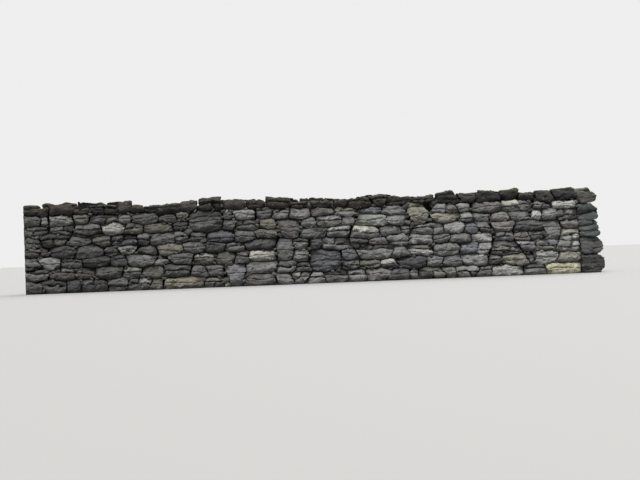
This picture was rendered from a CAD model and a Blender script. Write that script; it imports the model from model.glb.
from math import cos, pi, radians, sin
from random import Random

import bmesh
import bpy
from mathutils import Matrix, Vector, noise
from mathutils.bvhtree import BVHTree


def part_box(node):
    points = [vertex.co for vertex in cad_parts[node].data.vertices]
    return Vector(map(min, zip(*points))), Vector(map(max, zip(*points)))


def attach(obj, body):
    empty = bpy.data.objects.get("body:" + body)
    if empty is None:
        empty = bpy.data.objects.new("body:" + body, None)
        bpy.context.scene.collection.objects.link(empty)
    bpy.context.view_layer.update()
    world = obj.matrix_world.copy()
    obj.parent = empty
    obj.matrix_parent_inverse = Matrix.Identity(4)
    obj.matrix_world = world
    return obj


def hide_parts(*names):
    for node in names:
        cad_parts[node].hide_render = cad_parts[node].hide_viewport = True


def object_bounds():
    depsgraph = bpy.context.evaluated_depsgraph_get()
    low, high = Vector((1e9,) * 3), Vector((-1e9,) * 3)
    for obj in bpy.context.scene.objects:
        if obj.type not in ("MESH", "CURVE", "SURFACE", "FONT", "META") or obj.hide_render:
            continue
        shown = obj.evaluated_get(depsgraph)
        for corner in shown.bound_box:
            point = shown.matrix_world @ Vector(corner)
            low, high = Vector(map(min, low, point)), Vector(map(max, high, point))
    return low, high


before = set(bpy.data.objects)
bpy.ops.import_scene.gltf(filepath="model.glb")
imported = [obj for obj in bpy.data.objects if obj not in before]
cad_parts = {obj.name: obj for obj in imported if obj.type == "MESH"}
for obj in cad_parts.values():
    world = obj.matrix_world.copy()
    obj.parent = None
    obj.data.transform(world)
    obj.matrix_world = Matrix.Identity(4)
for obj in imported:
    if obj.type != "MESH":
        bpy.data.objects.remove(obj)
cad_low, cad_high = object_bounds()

# ---- The viewpoint
# The wall is seen from 84 m in front of it, at eye height, opposite its left end. A long lens makes
# it fill the picture, and the camera is rolled a little, which gives the ground its slope.
EYE = Vector((-13.5, -85.5, 1.6))
AIM = Vector((-0.15, -1.2, 2.1))
CAMERA_ROLL = radians(-2.1)
LENS_MM = 99
FARTHEST_SEEN = 1000
camera = bpy.data.objects.new("camera", bpy.data.cameras.new("camera"))
bpy.context.scene.collection.objects.link(camera)
bpy.context.scene.camera = camera
camera.data.lens = LENS_MM
camera.data.clip_end = FARTHEST_SEEN
camera.location = EYE
camera.rotation_euler = (
    (AIM - EYE).to_track_quat("-Z", "Y").to_matrix() @ Matrix.Rotation(CAMERA_ROLL, 3, "Z")
).to_euler()

# ---- The long faces: seven rough courses of quarried blocks under the crest, front and back
# Each block is split rock, set dry. Its face is a few broken planes with rounded arrises, its
# corners are gone, and what lies inside the wall is left as it came from the quarry.


def linear(hex_colour):
    """An sRGB hex colour as linear red, green and blue."""
    channels = (int(hex_colour[i : i + 2], 16) / 255 for i in (1, 3, 5))
    return [c / 12.92 if c <= 0.04045 else ((c + 0.055) / 1.055) ** 2.4 for c in channels]


def add_node(tree, kind, settings=None, links=None, **inputs):
    """A shader node with its settings, the values of its inputs and the sockets linked into it.

    A keyword is the label of an input, or _ and its number.
    """
    made = tree.nodes.new(kind)
    for name, value in (settings or {}).items():
        setattr(made, name, value)
    for name, value in inputs.items():
        made.inputs[int(name[1:]) if name[0] == "_" else name].default_value = value
    for name, socket in (links or {}).items():
        tree.links.new(socket, made.inputs[name])
    return made


def split_rock(name, moss):
    """Split quarry rock: coarse grey stone, broken by blasting, never dressed, weathered outdoors.

    The eye sees a dull, dry surface with its own tone on each block, broad stains, a fine speckle
    of grains, darker soil towards the joints, and moss where water stands.
    """
    material = bpy.data.materials.new(name)
    material.use_nodes = True
    tree = material.node_tree
    shader = tree.nodes["Principled BSDF"]
    shader.inputs["Roughness"].default_value = 0.92
    shader.inputs["IOR"].default_value = 1.5
    shader.inputs["Specular IOR Level"].default_value = 0.3
    place = add_node(tree, "ShaderNodeTexCoord").outputs["Object"]
    stone = add_node(tree, "ShaderNodeAttribute", {"attribute_name": "stone"}).outputs["Color"]
    wear = add_node(tree, "ShaderNodeAttribute", {"attribute_name": "wear"}).outputs["Color"]
    parts = add_node(tree, "ShaderNodeSeparateColor", links={"Color": wear}).outputs
    depth, own = parts["Red"], parts["Green"]
    multiply = {"operation": "MULTIPLY"}
    shift = add_node(tree, "ShaderNodeMath", multiply, {0: own}, _1=50.0).outputs[0]
    four = {"noise_dimensions": "4D"}

    def pattern(size_mm, detail, roughness=0.55, where=place):
        """Noise whose largest features are this many millimetres across, another on each block."""
        made = add_node(
            tree, "ShaderNodeTexNoise", four, {"Vector": where, "W": shift},
            Scale=1000 / size_mm, Detail=detail, Roughness=roughness,
        )
        return made.outputs["Fac"]

    def spread(value, low, high, to_low, to_high):
        """A value's stretch from low to high, as to_low to to_high."""
        made = add_node(tree, "ShaderNodeMapRange", links={"Value": value})
        ends = {"From Min": low, "From Max": high, "To Min": to_low, "To Max": to_high}
        for socket, end in ends.items():
            made.inputs[socket].default_value = end
        return made.outputs["Result"]

    def times(colour, value):
        """A colour made darker or lighter by a value."""
        scale = {"operation": "SCALE"}
        return add_node(
            tree, "ShaderNodeVectorMath", scale, {0: colour, "Scale": value}
        ).outputs[0]

    def covered(share, under, hex_colour):
        """A colour with another over it, by the share that a value gives."""
        made = add_node(tree, "ShaderNodeMix", {"data_type": "RGBA"}, {"Factor": share, 6: under})
        made.inputs[7].default_value = (*linear(hex_colour), 1)
        return made.outputs[2]

    along_beds = add_node(tree, "ShaderNodeMapping", links={"Vector": place}).outputs[0]
    along_beds.node.inputs["Rotation"].default_value = (0.1, 0.07, 0)
    along_beds.node.inputs["Scale"].default_value = (0.35, 0.35, 1.6)
    stains = pattern(420, 3)
    # Real grains are a few millimetres across, too fine to show: these are drawn ten times as big.
    grains = pattern(55, 6, 0.7)
    layers = pattern(110, 4, 0.6, along_beds)
    colour = times(stone, spread(stains, 0.3, 0.7, 0.76, 1.24))
    colour = times(colour, spread(layers, 0.3, 0.7, 0.78, 1.22))
    colour = times(colour, spread(grains, 0.3, 0.7, 0.7, 1.32))
    rust = spread(pattern(260, 4), 0.56, 0.72, 0.0, 0.3)
    colour = covered(rust, colour, "#665848")
    lichen = spread(pattern(130, 5, 0.65), 0.6, 0.68, 0.0, 0.4)
    colour = covered(lichen, colour, "#97968c")
    # Soil and shade darken the stone in the joints, and rain washes what faces up.
    colour = times(colour, spread(depth, 0.0, 1.0, 0.32, 1.0))
    normal = add_node(tree, "ShaderNodeNewGeometry").outputs["Normal"]
    up = add_node(tree, "ShaderNodeSeparateXYZ", links={0: normal}).outputs["Z"]
    colour = times(colour, spread(up, -0.35, 0.6, 0.8, 1.14))
    standing = spread(up, 0.25, 0.85, 0.0, moss)
    patches = spread(pattern(300, 4, 0.6), 0.42, 0.58, 0.2, 1.0)
    grown = add_node(tree, "ShaderNodeMath", multiply, {0: standing, 1: patches}).outputs[0]
    colour = covered(grown, colour, "#46432c")
    tree.links.new(colour, shader.inputs["Base Color"])
    add_up = {"operation": "MULTIPLY_ADD"}
    height = add_node(tree, "ShaderNodeMath", add_up, {0: layers, 2: grains}, _1=2.5).outputs[0]
    relief = add_node(
        tree, "ShaderNodeBump", links={"Height": height}, Strength=0.7, Distance=0.014
    )
    tree.links.new(relief.outputs["Normal"], shader.inputs["Normal"])
    return material


face_rock = split_rock("split_rock_of_the_faces", moss=0.08)
# Each colour of the blocks, and its share.
ROCK_COLOURS = (
    ("#5c5c5b", 6),
    ("#686967", 6),
    ("#787876", 5),
    ("#8a8a87", 2),
    ("#99988f", 1),
    ("#484849", 4),
    ("#66655f", 3),
    ("#737168", 2),
    ("#606165", 1),
    ("#656260", 2),
    ("#5b5856", 2),
)


def paint(dice, colours, lightness):
    """Picks the colour of one stone."""
    names, shares = zip(*colours)
    chosen = linear(dice.choices(names, shares)[0])
    level = lightness * dice.uniform(0.88, 1.12)
    return (*(c * level for c in chosen), 1)


SAME_POINT = 1e-5
SAME_PLANE = radians(0.4)


def blocks_of(node):
    """The blocks of a CAD node, each as a closed bmesh of its plane faces."""
    whole = bmesh.new()
    whole.from_mesh(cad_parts[node].data)
    bmesh.ops.remove_doubles(whole, verts=whole.verts, dist=SAME_POINT)
    bmesh.ops.dissolve_limit(
        whole, angle_limit=SAME_PLANE, verts=whole.verts, edges=whole.edges
    )
    whole.verts.ensure_lookup_table()
    left = set(whole.verts)
    while left:
        found = [min(left, key=lambda v: v.index)]
        left.discard(found[0])
        for vert in found:
            for edge in vert.link_edges:
                other = edge.other_vert(vert)
                if other in left:
                    left.discard(other)
                    found.append(other)
        block = bmesh.new()
        copies = {v: block.verts.new(v.co) for v in sorted(found, key=lambda v: v.index)}
        faces = sorted({f for v in found for f in v.link_faces}, key=lambda f: f.index)
        for face in faces:
            block.faces.new([copies[v] for v in face.verts])
        block.normal_update()
        yield block
    whole.free()


UP = Vector((0, 0, 1))
TOWARDS_THE_RIGHT = Vector((1, 0, 0))
TOWARDS_THE_BACK = Vector((0, 1, 0))


def span(verts, direction):
    """How far back and how far on some points reach in a direction."""
    places = [v.co.dot(direction) for v in verts]
    return min(places), max(places)


def centre(block):
    """The mean of a block's corners."""
    return sum((v.co for v in block.verts), Vector()) / len(block.verts)


def clamp(value):
    """A value, kept between 0 and 1."""
    return min(1.0, max(0.0, value))


def break_off(block, outward, count, dice, lean, reach):
    """Breaks planes off a block's face: each leans out of the face and takes one side of it.

    lean is the range of their angles to the face in degrees, and reach how far out they start, as
    a share of the way from the middle to the side.
    """
    middle = centre(block)
    face = max((v.co for v in block.verts), key=lambda co: co.dot(outward))
    middle = middle + outward * (face - middle).dot(outward)
    flat = outward.orthogonal().normalized()
    for _ in range(count):
        turn = dice.uniform(0, 2 * pi)
        aside = (Matrix.Rotation(turn, 3, outward) @ flat).normalized()
        width = max((v.co - middle).dot(aside) for v in block.verts)
        slope = radians(dice.uniform(*lean))
        place = middle + aside * width * dice.uniform(*reach)
        cut = bmesh.ops.bisect_plane(
            block, geom=block.verts[:] + block.edges[:] + block.faces[:], plane_co=place,
            plane_no=outward * cos(slope) + aside * sin(slope), clear_outer=True,
        )
        rim = [e for e in cut["geom_cut"] if isinstance(e, bmesh.types.BMEdge)]
        if rim:
            bmesh.ops.edgeloop_fill(block, edges=rim)


def divide(block, geometry, start, finish, direction, step):
    """Cuts the geometry by parallel planes, one every step, from start to finish."""
    count = max(1, round((finish - start) / step))
    for i in range(1, count):
        at = start + (finish - start) * i / count
        geometry = bmesh.ops.bisect_plane(
            block, geom=geometry, plane_co=direction * at, plane_no=direction
        )["geom"]
    return geometry


# The net of small faces is this much coarser in depth, points nearer than this share of a step
# become one, and a point has to be this far in front of the back plane to be moved.
COARSER_IN_DEPTH = 1.3
WELD = 0.3
IN_FRONT = 1e-4


def net(block, outward, step, back, front, dice):
    """Cuts a block from its back plane to its face into small faces, and returns their points."""
    everything = block.verts[:] + block.edges[:] + block.faces[:]
    bmesh.ops.bisect_plane(block, geom=everything, plane_co=outward * back, plane_no=outward)
    for elements in (block.verts, block.edges, block.faces):
        elements.index_update()
    skin = [f for f in block.faces if f.calc_center_median().dot(outward) > back]
    # A set comes in another order on each run, so it is sorted.
    rims = sorted({e for f in skin for e in f.edges}, key=lambda e: e.index)
    corners = sorted({v for f in skin for v in f.verts}, key=lambda v: v.index)
    geometry = skin + rims + corners
    lean = Matrix.Rotation(radians(dice.uniform(2, 6)), 3, outward)
    for axis in (UP, UP.cross(outward).normalized()):
        direction = lean @ axis
        geometry = divide(block, geometry, *span(block.verts, direction), direction, step)
    divide(block, geometry, back, front, outward, step * COARSER_IN_DEPTH)

    def loose():
        """The points in front of the back plane."""
        return [v for v in block.verts if v.co.dot(outward) > back + IN_FRONT]

    bmesh.ops.remove_doubles(block, verts=loose(), dist=step * WELD)
    flaps = [f for f in block.faces if any(len(e.link_faces) == 1 for e in f.edges)]
    bmesh.ops.delete(block, geom=flaps, context="FACES")
    rims = [e for e in block.edges if len(e.link_faces) == 1]
    bmesh.ops.holes_fill(block, edges=rims, sides=0)
    return loose()


# A block is rounded this far behind its face.
DOME_DEPTH = 0.3
# How much shorter its face is than its back, as a share: all over, and more at its beds.
SHORTER, SHORTER_AT_BEDS = 0.015, 0.05
# How much flatter, in the same way: all over, and more at its ends, from the one to the other.
FLATTER, FLATTER_AT_ENDS = 0.15, (0.12, 0.34)
# How far its beds fall back, in metres and as a share of half its height, whichever is less.
BEDS_FALL, BEDS_FALL_SHARE = 0.16, 0.55
# How far its ends do, as a share of that.
ENDS_FALL = 0.35


def dome(verts, outward, dice):
    """Rounds a block towards its face: its ends taper and the edges of the face fall back.

    near is 1 at the face, and a and w run from -1 to 1 along and up the block.
    """
    along = UP.cross(outward).normalized()
    up = outward.cross(along)
    front = span(verts, outward)[1]
    left, right = span(verts, along)
    low, high = span(verts, up)
    middle_along, half_along = (right + left) / 2, (right - left) / 2
    middle_up, half_up = (high + low) / 2, (high - low) / 2
    taper = dice.uniform(*FLATTER_AT_ENDS)
    fall = min(BEDS_FALL, half_up * BEDS_FALL_SHARE)
    for vert in verts:
        near = clamp(1 - (front - vert.co.dot(outward)) / DOME_DEPTH) ** 1.3
        a = (vert.co.dot(along) - middle_along) / half_along
        w = (vert.co.dot(up) - middle_up) / half_up
        vert.co -= along * a * half_along * near * (SHORTER + SHORTER_AT_BEDS * w * w)
        vert.co -= up * w * half_up * near * (FLATTER + taper * abs(a) ** 3)
        vert.co -= outward * near * fall * (abs(w) ** 2.5 + ENDS_FALL * abs(a) ** 6)


# Half the width of a crack, and how far beside it the stone falls back. Points nearer than this
# share of a step lie on its line.
CRACK_HALF_WIDTH = 0.05
FALL_BESIDE = 0.16
ON_THE_LINE = 0.55
# How far a crack strays from its line, in long and in short waves.
LONG_WAVES = 0.16
SHORT_WAVES = 0.04
# How much of its depth a crack has where the stone turns away from the face.
DEPTH_AT_SIDES = 0.35


def crack(verts, outward, across, level, opening, fall, step, dice):
    """Opens a crack over a block: the points nearest to it snap to its line and sink.

    The edges beside it fall back too. Returns how far beyond the crack each point lies.
    """
    where = Vector((dice.uniform(0, 90), dice.uniform(0, 90), 0))
    beyond = {}
    for vert in verts:
        place = vert.co + where
        past = vert.co.dot(across) - level
        past -= noise.noise(place * 1.1) * LONG_WAVES
        past -= noise.noise(place * 4) * SHORT_WAVES
        near = clamp(1 - abs(past) / CRACK_HALF_WIDTH)
        if abs(past) < step * ON_THE_LINE:
            vert.co -= across * past
            near = 1.0
        sink = opening * near + fall * clamp(1 - abs(past) / FALL_BESIDE) ** 2
        faced = max(0.0, vert.normal.dot(outward))
        vert.co -= vert.normal * sink * (DEPTH_AT_SIDES + (1 - DEPTH_AT_SIDES) * faced)
        beyond[vert] = past
    return beyond


# The bedding of the rock opens about this often. A crack only opens it, and a parting makes two
# stones of it: for both, the ranges of the depth and of the step in the face, in metres.
LAYER = 0.36
CRACK_OPENING, CRACK_STEP = (0.02, 0.08), (-0.05, 0.02)
PARTED_OPENING, PARTED_STEP = (0.08, 0.13), (-0.08, 0.05)
PARTED_FALL = (0.03, 0.06)
# A block whose stones are longer than this for their height may also part upright.
LONG_FOR_ITS_HEIGHT = 3.4
UPRIGHT_OPENING, UPRIGHT_STEP = (0.08, 0.14), (-0.07, 0.04)
UPRIGHT_FALL = 0.06
UPRIGHT_SLANT = (-25, 25)


def part_along_beds(verts, outward, step, dice, share):
    """Opens a thick block along its bedding, and parts this share of them into two or three stones.

    Returns the number of the stone that each point belongs to, the shade of the partings on each
    point, and the count of stones.
    """
    along = UP.cross(outward).normalized()
    up = outward.cross(along)
    low, high = span(verts, up)
    left, right = span(verts, along)
    stones = dict.fromkeys(verts, 0)
    shade = dict.fromkeys(verts, 0.0)
    count = 1

    def darken(vert, past):
        """Shades a point by how near it is to a parting."""
        shade[vert] = max(shade[vert], 1 - abs(past) / CRACK_HALF_WIDTH)

    cracks = int((high - low) / LAYER)
    for number in range(cracks):
        level = low + (high - low) * (number + 1 + dice.uniform(-0.25, 0.25)) / (cracks + 1)
        parted = dice.random() < share
        opening = dice.uniform(*(PARTED_OPENING if parted else CRACK_OPENING))
        fall = dice.uniform(*PARTED_FALL) if parted else 0.0
        step_back = outward * dice.uniform(*(PARTED_STEP if parted else CRACK_STEP))
        opened = crack(verts, outward, up, level, opening, fall, step, dice)
        for vert, past in opened.items():
            if past > 0:
                vert.co += step_back * min(1.0, past / CRACK_HALF_WIDTH)
            if parted:
                stones[vert] += past > 0
                darken(vert, past)
        count += parted
    length = (right - left) / (high - low) * count
    if share and length > LONG_FOR_ITS_HEIGHT * dice.uniform(0.8, 1.4):
        chosen = dice.randrange(count)
        split = [v for v in verts if stones[v] == chosen]
        slant = Matrix.Rotation(radians(dice.uniform(*UPRIGHT_SLANT)), 3, outward) @ along
        middle = along * (left + (right - left) * dice.uniform(0.35, 0.65)) + up * (low + high) / 2
        place = (middle + outward * split[0].co.dot(outward)).dot(slant)
        step_back = outward * dice.uniform(*UPRIGHT_STEP)
        opening = dice.uniform(*UPRIGHT_OPENING)
        opened = crack(split, outward, slant, place, opening, UPRIGHT_FALL, step, dice)
        for vert, past in opened.items():
            if past > 0:
                vert.co += step_back * min(1.0, past / CRACK_HALF_WIDTH)
                stones[vert] = count
            darken(vert, past)
        count += 1
    return stones, shade, count


# A facet is tilted by a random vector, less the mean of all such vectors, and hollowed by SCOOP.
MEAN_TILT = Vector((0.5, 0.5, 0.5))
SCOOP = 0.3
# The seats of the facets are spread by this much, so that each has a cell and a vector of its own.
SEATS_TO_CELLS = 100


def broken_planes(place):
    """Height of split rock: shallow scoops, each tilted its own way, that meet in sharp ridges."""
    distances, seats = noise.voronoi(place)
    return min(
        (place - seat).dot(noise.cell_vector(seat * SEATS_TO_CELLS) - MEAN_TILT) + SCOOP * distance
        for distance, seat in zip(distances, seats)
    )


# Humps, furrows and facets: how many in a metre, and how high they are beside the swell of a block.
HUMPS_A_METRE = 2.2
FURROWS_A_METRE, FURROW_DEPTH = 4.2, 0.7
FACETS_A_METRE, FACET_HEIGHT = 3.2, 3.2
# The finest unevenness is as fine as the net of small faces can show.
GRAINS_A_STEP, GRAIN_HEIGHT = 0.5, 0.3
# All of it is flatter than it is long, as bedded rock breaks.
FLAT_BEDS = 1.6


def roughen(block, outward, step, depth, dice, round_off, swell):
    """Gives a block the rough skin of split rock, from its face back to the given depth.

    step is the size of its small faces, round_off the number of times that they are smoothed, and
    swell the height of its humps.
    """
    front = span(block.verts, outward)[1]
    back = front - depth
    loose = net(block, outward, step, back, front, dice)
    dome(loose, outward, dice)
    for _ in range(round_off):
        bmesh.ops.smooth_vert(
            block, verts=loose, factor=0.5, use_axis_x=True, use_axis_y=True, use_axis_z=True
        )
    block.normal_update()
    where = Vector((dice.uniform(0, 90), dice.uniform(0, 90), dice.uniform(0, 90)))
    for vert in loose:
        fade = min(1.0, (vert.co.dot(outward) - back) / (depth * 0.5))
        place = Vector((vert.co.x, vert.co.y, vert.co.z * FLAT_BEDS)) + where
        lift = noise.noise(place * HUMPS_A_METRE) * swell
        lift -= abs(noise.noise(place * FURROWS_A_METRE + where)) * swell * FURROW_DEPTH
        lift += noise.noise(place * GRAINS_A_STEP / step) * swell * GRAIN_HEIGHT
        lift += broken_planes(place * FACETS_A_METRE) * swell * FACET_HEIGHT
        vert.co += vert.normal * lift * fade
    block.normal_update()
    block.verts.index_update()
    return loose


# How dark a parting is, and how far the patterns of the stones of one block lie apart.
PARTING_SHADE = 0.8
NEXT_STONE = 0.37


def gather(course, block, colours, own, depth_at, stones=None, shade=None):
    """Adds one finished block to its course, with its colours and its wear on every point."""
    which = {vert.index: number for vert, number in (stones or {}).items()}
    dark = {vert.index: value for vert, value in (shade or {}).items()}
    stone = block.verts.layers.float_color.new("stone")
    wear = block.verts.layers.float_color.new("wear")
    block.verts.ensure_lookup_table()
    for vert in block.verts:
        number = which.get(vert.index, 0)
        vert[stone] = colours[number]
        light = depth_at(vert.co) * (1 - PARTING_SHADE * clamp(dark.get(vert.index, 0.0)))
        vert[wear] = (light, (own + number * NEXT_STONE) % 1, 0, 1)
    store = bpy.data.meshes.new("store")
    block.to_mesh(store)
    block.free()
    course.from_mesh(store)
    bpy.data.meshes.remove(store)


# An edge that turns by more than this is an arris, and stays crisp.
ARRIS = radians(36)


def finish_piece(name, mesh, material):
    """Makes a bmesh a piece of the wall, with no point outside the wall's box."""
    for vert in mesh.verts:
        for axis in range(3):
            vert.co[axis] = min(max(vert.co[axis], cad_low[axis]), cad_high[axis])
    data = bpy.data.meshes.new(name)
    mesh.to_mesh(data)
    mesh.free()
    data.materials.append(material)
    data.shade_smooth()
    data.set_sharp_from_angle(angle=ARRIS)
    piece = bpy.data.objects.new(name, data)
    bpy.context.scene.collection.objects.link(piece)
    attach(piece, "root")
    return piece


# Blocks of the front face that stand out by their colour: a place on each, along and up.
STAND_OUTS = (
    (-6.4, 0.4, "#7b786a"),
    (-4.4, 0.9, "#6b6b6c"),
    (10.0, 0.3, "#92918d"),
    (12.2, 0.3, "#a29f88"),
    (2.4, 3.1, "#7e817b"),
    (7.6, 2.1, "#94928f"),
    (-10.4, 2.9, "#84837f"),
    (11.3, 3.95, "#2b2a2c"),
    (12.4, 3.95, "#2b2a2c"),
)


def stand_out(block):
    """The colour of a block of the front face that stands out, or None."""
    low = [min(v.co[axis] for v in block.verts) for axis in range(3)]
    high = [max(v.co[axis] for v in block.verts) for axis in range(3)]
    for along, up, colour in STAND_OUTS:
        if low[0] < along < high[0] and low[2] < up < high[2] and low[1] < 0:
            return (*linear(colour), 1)
    return None


# Each face leans back by one in eight.
FACE_LEAN = 1 / 8
# A depth of skin that takes in the whole of any block. A block has it if it reaches this near to
# the left end, where its side shows.
WHOLE_BLOCK = 3.0
AT_THE_LEFT_END = 0.02
# A higher block stands through two courses.
JUMPER_HEIGHT = 0.8
PARTED_SHARE = 0.4
# From SOIL_FROM behind its face, a block grows dark with soil and shade over the next SOIL_OVER.
SOIL_FROM = 0.12
SOIL_OVER = 0.16


def build_course(node, side, step, depth, material, colours, lightness):
    """One course of a long face. side is -1 for the front and 1 for the back."""
    dice = Random(node)
    outward = Vector((0, side, FACE_LEAN)).normalized()
    course = bmesh.new()
    for block in blocks_of(node):
        level = lightness(centre(block).x)
        break_off(block, outward, dice.randint(3, 6), dice, lean=(12, 40), reach=(0.3, 0.8))
        at_left_end = span(block.verts, TOWARDS_THE_RIGHT)[0] < cad_low.x + AT_THE_LEFT_END
        skin = roughen(
            block, outward, step, WHOLE_BLOCK if at_left_end else depth, dice,
            round_off=3, swell=0.055,
        )
        plane = span(block.verts, outward)[1]
        alone = stand_out(block)
        foot, top = span(block.verts, UP)
        share = 0 if alone or top - foot > JUMPER_HEIGHT else PARTED_SHARE
        stones, shade, count = part_along_beds(skin, outward, step, dice, share)
        tones = [alone or paint(dice, colours, level) for _ in range(count)]
        gather(
            course, block, tones, dice.random(),
            lambda co: clamp(1 - (plane - co.dot(outward) - SOIL_FROM) / SOIL_OVER), stones, shade,
        )
    return finish_piece(node + "_stones", course, material)


# The blocks are this light up to 10 m left of the middle, and gain this much by 10 m right of it.
LEFT_LIGHTNESS = 0.64
LIGHTNESS_GAINED = 0.62


def along_the_wall(x):
    """How light the blocks are: darker towards the left and lighter towards the free end."""
    return LEFT_LIGHTNESS + LIGHTNESS_GAINED * clamp((x + 10) / 20)


FRONT_STEP = 0.045
BACK_STEP = 0.065
FACE_DEPTH = 0.3
laid = {-1: [], 1: []}
for number in range(1, 8):
    for name, side, step in (("front", -1, FRONT_STEP), ("back", 1, BACK_STEP)):
        node = f"{name}_course_{number}"
        piece = build_course(
            node, side, step, FACE_DEPTH, face_rock, ROCK_COLOURS, along_the_wall
        )
        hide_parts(node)
        laid[side].append(piece)

# ---- The crest: the eighth course of each face
# The same rock, smaller and uneven on top, brown with soil and old growth because the rain stands
# there. Its tops and backs show from above, so the whole of each block is rough.
crest_rock = split_rock("weathered_rock_of_the_crest", moss=0.55)
CREST_COLOURS = (
    ("#3a3734", 5),
    ("#464340", 4),
    ("#303032", 5),
    ("#575552", 2),
    ("#6f6d6a", 1),
    ("#3f3936", 3),
)
CREST_LIGHTNESS = 0.5
CREST_STEP = 0.08
for name, side in (("front", -1), ("back", 1)):
    node = f"{name}_course_8"
    piece = build_course(
        node, side, CREST_STEP, WHOLE_BLOCK, crest_rock, CREST_COLOURS,
        lambda x: CREST_LIGHTNESS,
    )
    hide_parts(node)
    laid[side].append(piece)

# ---- The right end: a stack of bigger, darker, rounder boulders
# Two or three boulders lie across the wall in each of five courses. They were picked for size, and
# wear has rounded them on every side. Those of two courses have opened along their bedding.
end_rock = split_rock("dark_boulders_of_the_end", moss=0.22)
END_COLOURS = ("#4c4c4b", "#5b5c5a", "#5d6462", "#5f6665", "#64635b")
END_LIGHTNESS = 0.6
END_STEP = 0.06
# The courses whose boulders have opened along their bedding.
OPENED_COURSES = (3, 4)
# The faces of the boulders look along the wall by this much.
TURNED_TO_THE_END = 0.35
# A boulder narrower than this lies in the middle and is left whole.
SMALL_BOULDER = 0.5
for number, colour in enumerate(END_COLOURS, 1):
    node = f"right_end_course_{number}"
    dice = Random(node)
    course = bmesh.new()
    for block in blocks_of(node):
        side = -1 if centre(block).y < 0 else 1
        outward = Vector((TURNED_TO_THE_END, side, FACE_LEAN)).normalized()
        near, far = span(block.verts, TOWARDS_THE_BACK)
        if far - near < SMALL_BOULDER:
            roughen(
                block, TOWARDS_THE_RIGHT, END_STEP, WHOLE_BLOCK, dice, round_off=1, swell=0.02
            )
            stones, shade, count = None, None, 1
        else:
            break_off(block, outward, 2, dice, lean=(14, 38), reach=(0.3, 0.75))
            skin = roughen(
                block, TOWARDS_THE_RIGHT, END_STEP, WHOLE_BLOCK, dice, round_off=12, swell=0.045
            )
            share = 1 if number in OPENED_COURSES else 0
            stones, shade, count = part_along_beds(skin, outward, END_STEP, dice, share)
        tones = [paint(dice, ((colour, 1),), END_LIGHTNESS) for _ in range(count)]
        gather(course, block, tones, dice.random(), lambda co: 1.0, stones, shade)
    piece = finish_piece(node + "_stones", course, end_rock)
    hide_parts(node)
    laid[-1].append(piece)
    laid[1].append(piece)

# ---- The left end: closing blocks between the two faces
# Plain blocks of the face rock, one on another, that hold the small stone in. The next stretch of
# the wall is laid against them, so they end flush.
LEFT_END_LIGHTNESS = 0.66
LEFT_END_STEP = 0.07
for number in range(1, 7):
    node = f"left_end_course_{number}"
    dice = Random(node)
    course = bmesh.new()
    for block in blocks_of(node):
        skin = roughen(
            block, -TOWARDS_THE_RIGHT, LEFT_END_STEP, WHOLE_BLOCK, dice, round_off=4, swell=0.03
        )
        stones, shade, count = part_along_beds(skin, -TOWARDS_THE_RIGHT, LEFT_END_STEP, dice, 0)
        tones = [paint(dice, ROCK_COLOURS, LEFT_END_LIGHTNESS) for _ in range(count)]
        gather(course, block, tones, dice.random(), lambda co: 1.0, stones, shade)
    piece = finish_piece(node + "_stones", course, face_rock)
    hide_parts(node)

# ---- The hearting: small broken stone packed between the faces
# Quarry waste as big as a fist or a head, tipped in as the faces rise. It shows only from above, a
# little below the crest.

# The edge of the box of a chip, for radii of 1, and what is knocked and broken off it, as shares of
# its smallest radius.
CHIP_BOX = 1.7
KNOCKED = 0.35
BROKEN_EDGE = 0.3


def chip(place, radii, dice):
    """One small broken stone: a box knocked out of square, with its edges broken off."""
    turn = Matrix.Rotation(dice.gauss(0, 0.5), 4, "Y")
    turn = turn @ Matrix.Rotation(dice.uniform(-0.6, 0.6), 4, "X")
    turn = turn @ Matrix.Rotation(dice.uniform(-0.6, 0.6), 4, "Z")
    block = bmesh.new()
    shape = Matrix.Translation(place) @ turn @ Matrix.Diagonal((*radii, 1))
    bmesh.ops.create_cube(block, size=CHIP_BOX, matrix=shape)
    for vert in block.verts:
        knock = Vector((dice.uniform(-1, 1), dice.uniform(-1, 1), dice.uniform(-1, 1)))
        vert.co += knock * min(radii) * KNOCKED
    bmesh.ops.bevel(
        block, geom=block.edges[:], offset=min(radii) * BROKEN_EDGE, offset_type="OFFSET",
        segments=1, profile=0.5, affect="EDGES", clamp_overlap=True, material=-1,
    )
    return block


RUBBLE_COLOURS = (("#4b4a47", 4), ("#5a5955", 3), ("#3a3937", 3), ("#58534a", 2), ("#6e6b65", 1))
RUBBLE_SPACING = 0.135
# The single stones lie on a core of plain dark stone, whose top is this much lower.
CORE_LOWER = 0.06
low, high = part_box("hearting")
dice = Random("hearting")
rubble = bmesh.new()
core = bmesh.new()
bmesh.ops.create_cube(core, size=1)
for vert in core.verts:
    vert.co = Vector([low[axis] if vert.co[axis] < 0 else high[axis] for axis in range(3)])
    vert.co.z = min(vert.co.z, high.z - CORE_LOWER)
gather(rubble, core, [(*linear("#2f2d29"), 1)], 0.5, lambda co: 1.0)
rows = round((high.y - low.y) / RUBBLE_SPACING) + 1
for i in range(round((high.x - low.x) / RUBBLE_SPACING)):
    for j in range(rows):
        radius = dice.uniform(0.055, 0.115)
        place = Vector((
            low.x + (i + dice.uniform(0.1, 0.9)) * RUBBLE_SPACING,
            low.y + (j + dice.uniform(-0.3, 0.3)) * (high.y - low.y) / (rows - 1),
            high.z + dice.uniform(-0.07, 0.03),
        ))
        stone = chip(place, (radius * 1.3, radius, radius * 0.8), dice)
        gather(rubble, stone, [paint(dice, RUBBLE_COLOURS, 1.0)], dice.random(), lambda co: 1.0)
hearting = finish_piece("hearting_stones", rubble, crest_rock)
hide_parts("hearting")

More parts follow.
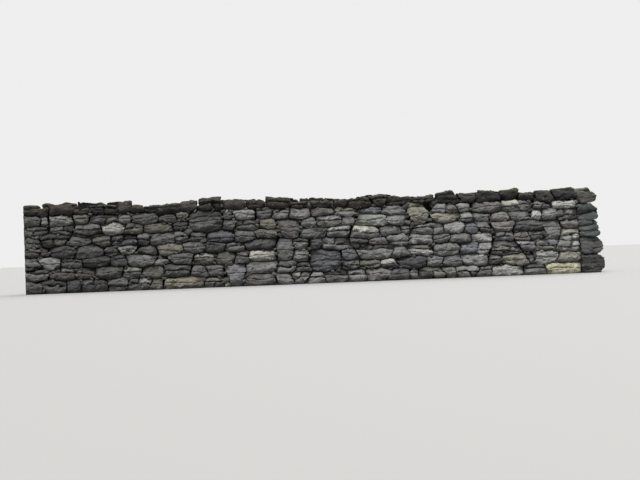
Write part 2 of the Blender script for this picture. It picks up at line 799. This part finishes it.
# ---- The pinnings: small stones wedged into the gaps of the faces
# Waller's wedges of the same rock, from a hand to a foot long, driven in where the corners of the
# blocks leave a hollow. They sit back from the face.

# The face stands this far out from the middle of the wall at the ground.
BASE_OUT = 1.4
# A hollow is this deep, or it is the flank of a block, which lies more than HOLLOW_FLANK behind the
# face and is turned away from it. HOLLOW_RIM is enough at the rim of the stone to be wedged in.
DEEP_HOLLOW = 0.42
HOLLOW_FLANK = 0.2
HOLLOW_RIM = 0.13
TURNED_AWAY = 0.75
# The faces are searched by rays from this far out, in these steps along and up: from near the left
# end to the stack, and from the ground to the foot of the crest.
RAYS_FROM = 4
SEARCH_ALONG, SEARCH_UP = 0.06, 0.05
FROM_THE_LEFT, BOTH_MARGINS = 0.25, 0.3
FROM_THE_GROUND, CREST_FOOT = 0.06, 3.7
PIN_RADII = (0.035, 0.05, 0.07, 0.095, 0.125)
SMALLEST_PIN = 0.05
# How far two stones are apart, for the sum of their radii, and the share of the hollows in which no
# stone is left.
APART = 1.15
LEFT_EMPTY = 0.35
PIN_LIGHTNESS = 0.7
SET_BACK = 0.14


def pin_face(name, side):
    """Finds the hollows of a face by rays from outside, and wedges a stone into each."""
    dice = Random(name)
    whole = bmesh.new()
    for piece in laid[side]:
        whole.from_mesh(piece.data)
    blocks = BVHTree.FromBMesh(whole)
    whole.free()

    def hollow(x, z, flank=HOLLOW_FLANK):
        """Whether a point of the face lies over a hollow: nothing near, or the flank of a block."""
        start = Vector((x, side * RAYS_FROM, z))
        hit, normal, _, _ = blocks.ray_cast(start, Vector((0, -side, 0)))
        if hit is None:
            return True
        back = BASE_OUT - z * FACE_LEAN - side * hit.y
        return back > DEEP_HOLLOW or (back > flank and normal.y * side < TURNED_AWAY)

    found = []
    stack_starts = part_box("right_end_course_1")[0].x
    for i in range(round((stack_starts - cad_low.x - BOTH_MARGINS) / SEARCH_ALONG)):
        for k in range(round(CREST_FOOT / SEARCH_UP)):
            x = cad_low.x + FROM_THE_LEFT + (i + dice.random()) * SEARCH_ALONG
            z = FROM_THE_GROUND + (k + dice.random()) * SEARCH_UP
            if not hollow(x, z):
                continue
            radius = 0.0
            for tried in PIN_RADII:
                around = [(cos(a * pi / 4) * tried, sin(a * pi / 4) * tried) for a in range(8)]
                if not all(hollow(x + dx, z + dz, HOLLOW_RIM) for dx, dz in around):
                    break
                radius = tried
            if radius > 0:
                found.append((radius, x, z))
    found.sort(key=lambda f: -f[0])
    wedges = bmesh.new()
    placed = []
    for radius, x, z in found:
        if any((x - a) ** 2 + (z - b) ** 2 < (APART * (radius + r)) ** 2 for r, a, b in placed):
            continue
        placed.append((radius, x, z))
        if radius < SMALLEST_PIN or dice.random() < LEFT_EMPTY:
            continue
        out = BASE_OUT - z * FACE_LEAN - SET_BACK - radius
        radii = (radius * dice.uniform(1.3, 1.9), radius * 1.5, radius * dice.uniform(0.7, 1.1))
        stone = chip(Vector((x, side * out, z)), radii, dice)
        tones = [paint(dice, ROCK_COLOURS, PIN_LIGHTNESS)]
        gather(wedges, stone, tones, dice.random(), lambda co: 0.5)
    finish_piece(name, wedges, face_rock)


pin_face("front_pinnings", -1)
pin_face("back_pinnings", 1)

# ---- The floor and the light
# A plain pale floor, a large soft lamp above the front, a weaker one behind, and a pale room that
# looks brighter than it shines.
stage_data = bpy.data.meshes.new("floor")
floor_mesh = bmesh.new()
bmesh.ops.create_grid(floor_mesh, x_segments=1, y_segments=1, size=400)
floor_mesh.to_mesh(stage_data)
floor_mesh.free()
floor = bpy.data.objects.new("floor", stage_data)
bpy.context.scene.collection.objects.link(floor)
floor_material = bpy.data.materials.new("pale_floor")
floor_material.use_nodes = True
floor_shader = floor_material.node_tree.nodes["Principled BSDF"]
floor_shader.inputs["Base Color"].default_value = (*linear("#a9a8a6"), 1)
floor_shader.inputs["Roughness"].default_value = 0.9
stage_data.materials.append(floor_material)


def add_lamp(name, strength, softness, direction):
    """A far lamp that shines in a direction. Its softness is an angle in degrees."""
    lamp = bpy.data.lights.new(name, "SUN")
    lamp.energy = strength
    lamp.angle = radians(softness)
    holder = bpy.data.objects.new(name, lamp)
    holder.rotation_euler = Vector(direction).to_track_quat("-Z", "Y").to_euler()
    bpy.context.scene.collection.objects.link(holder)


add_lamp("soft_lamp", 3.4, 28, (0.3, 0.7, -1.05))
add_lamp("fill_lamp", 1.6, 45, (-0.5, -0.8, -0.7))

ROOM_SHINES = 0.4
ROOM_LOOKS = 0.86
world = bpy.data.worlds.new("pale_room")
bpy.context.scene.world = world
world.use_nodes = True
room = world.node_tree
background = room.nodes["Background"]
light_path = add_node(room, "ShaderNodeLightPath").outputs
seen = light_path["Is Camera Ray"]
for ray in ("Is Glossy Ray", "Is Transmission Ray"):
    seen = add_node(
        room, "ShaderNodeMath", {"operation": "MAXIMUM"}, {0: seen, 1: light_path[ray]}
    ).outputs[0]
strength = add_node(room, "ShaderNodeMapRange", links={"Value": seen})
strength.inputs["To Min"].default_value = ROOM_SHINES
strength.inputs["To Max"].default_value = ROOM_LOOKS
room.links.new(strength.outputs["Result"], background.inputs["Strength"])
background.inputs["Color"].default_value = (1, 1, 1, 1)
bpy.context.scene.view_settings.view_transform = "Standard"
